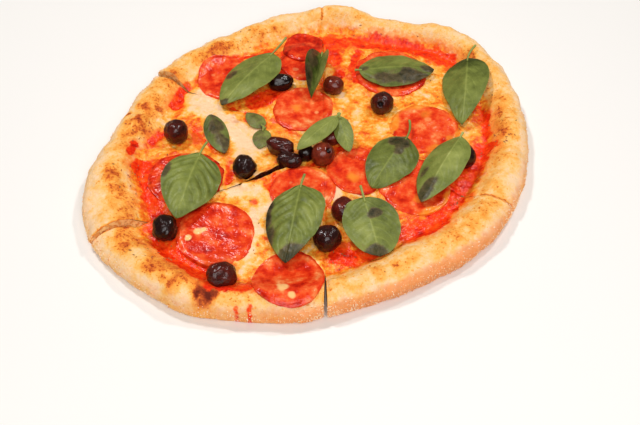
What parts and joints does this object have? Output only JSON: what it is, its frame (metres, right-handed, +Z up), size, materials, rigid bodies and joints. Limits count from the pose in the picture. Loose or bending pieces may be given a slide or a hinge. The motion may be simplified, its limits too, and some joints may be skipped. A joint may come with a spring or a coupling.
{
  "type": "pepperoni pizza",
  "caption": "Oval hand-stretched pepperoni pizza with olives and basil leaves, cut into slices that still lie together.",
  "frame": {"origin": "on the flat underside, below the middle of the crust", "axes": "+Z up, +X to the right and +Y to the back as the picture shows it"},
  "size_m": [0.2982, 0.2916, 0.0309],
  "materials": {
    "crust": "matte baked dough",
    "cheese": "oily melted cheese and sauce",
    "pepperoni": "oily cured sausage",
    "olive": "shiny dark skin",
    "basil": "soft satin leaf"
  },
  "bodies": {
    "root": {"crust_back_left": "crust", "crust_left": "crust", "crust_front_left": "crust", "crust_front_right": "crust", "crust_back_right": "crust", "cheese_back_left": "cheese", "cheese_left": "cheese", "cheese_front_left": "cheese", "cheese_front_right": "cheese", "cheese_back_right": "cheese", "pepperoni_1_back_left": "pepperoni", "pepperoni_2_back_left": "pepperoni", "pepperoni_3_back_left": "pepperoni", "pepperoni_4_back_left": "pepperoni", "pepperoni_4_back_right": "pepperoni", "pepperoni_5_back_right": "pepperoni", "pepperoni_6_back_right": "pepperoni", "pepperoni_7_back_right": "pepperoni", "pepperoni_7_front_right": "pepperoni", "pepperoni_8_back_right": "pepperoni", "pepperoni_8_front_right": "pepperoni", "pepperoni_9_front_left": "pepperoni", "pepperoni_9_front_right": "pepperoni", "pepperoni_10_left": "pepperoni", "pepperoni_11_front_left": "pepperoni", "pepperoni_12_front_left": "pepperoni", "olive_1": "olive", "olive_2": "olive", "olive_3": "olive", "olive_4": "olive", "olive_5": "olive", "olive_6": "olive", "olive_7": "olive", "olive_8": "olive", "olive_9": "olive", "olive_10": "olive", "olive_11": "olive", "olive_12": "olive", "olive_13": "olive", "olive_14": "olive", "olive_15": "olive", "basil_back_left": "basil", "basil_back": "basil", "basil_back_middle": "basil", "basil_back_right": "basil", "basil_sprig_middle": "basil", "basil_left": "basil", "basil_middle_right": "basil", "basil_right": "basil", "basil_front": "basil", "basil_front_right": "basil", "basil_small_left": "basil", "basil_sprig_left": "basil"}
  },
  "joints": []
}
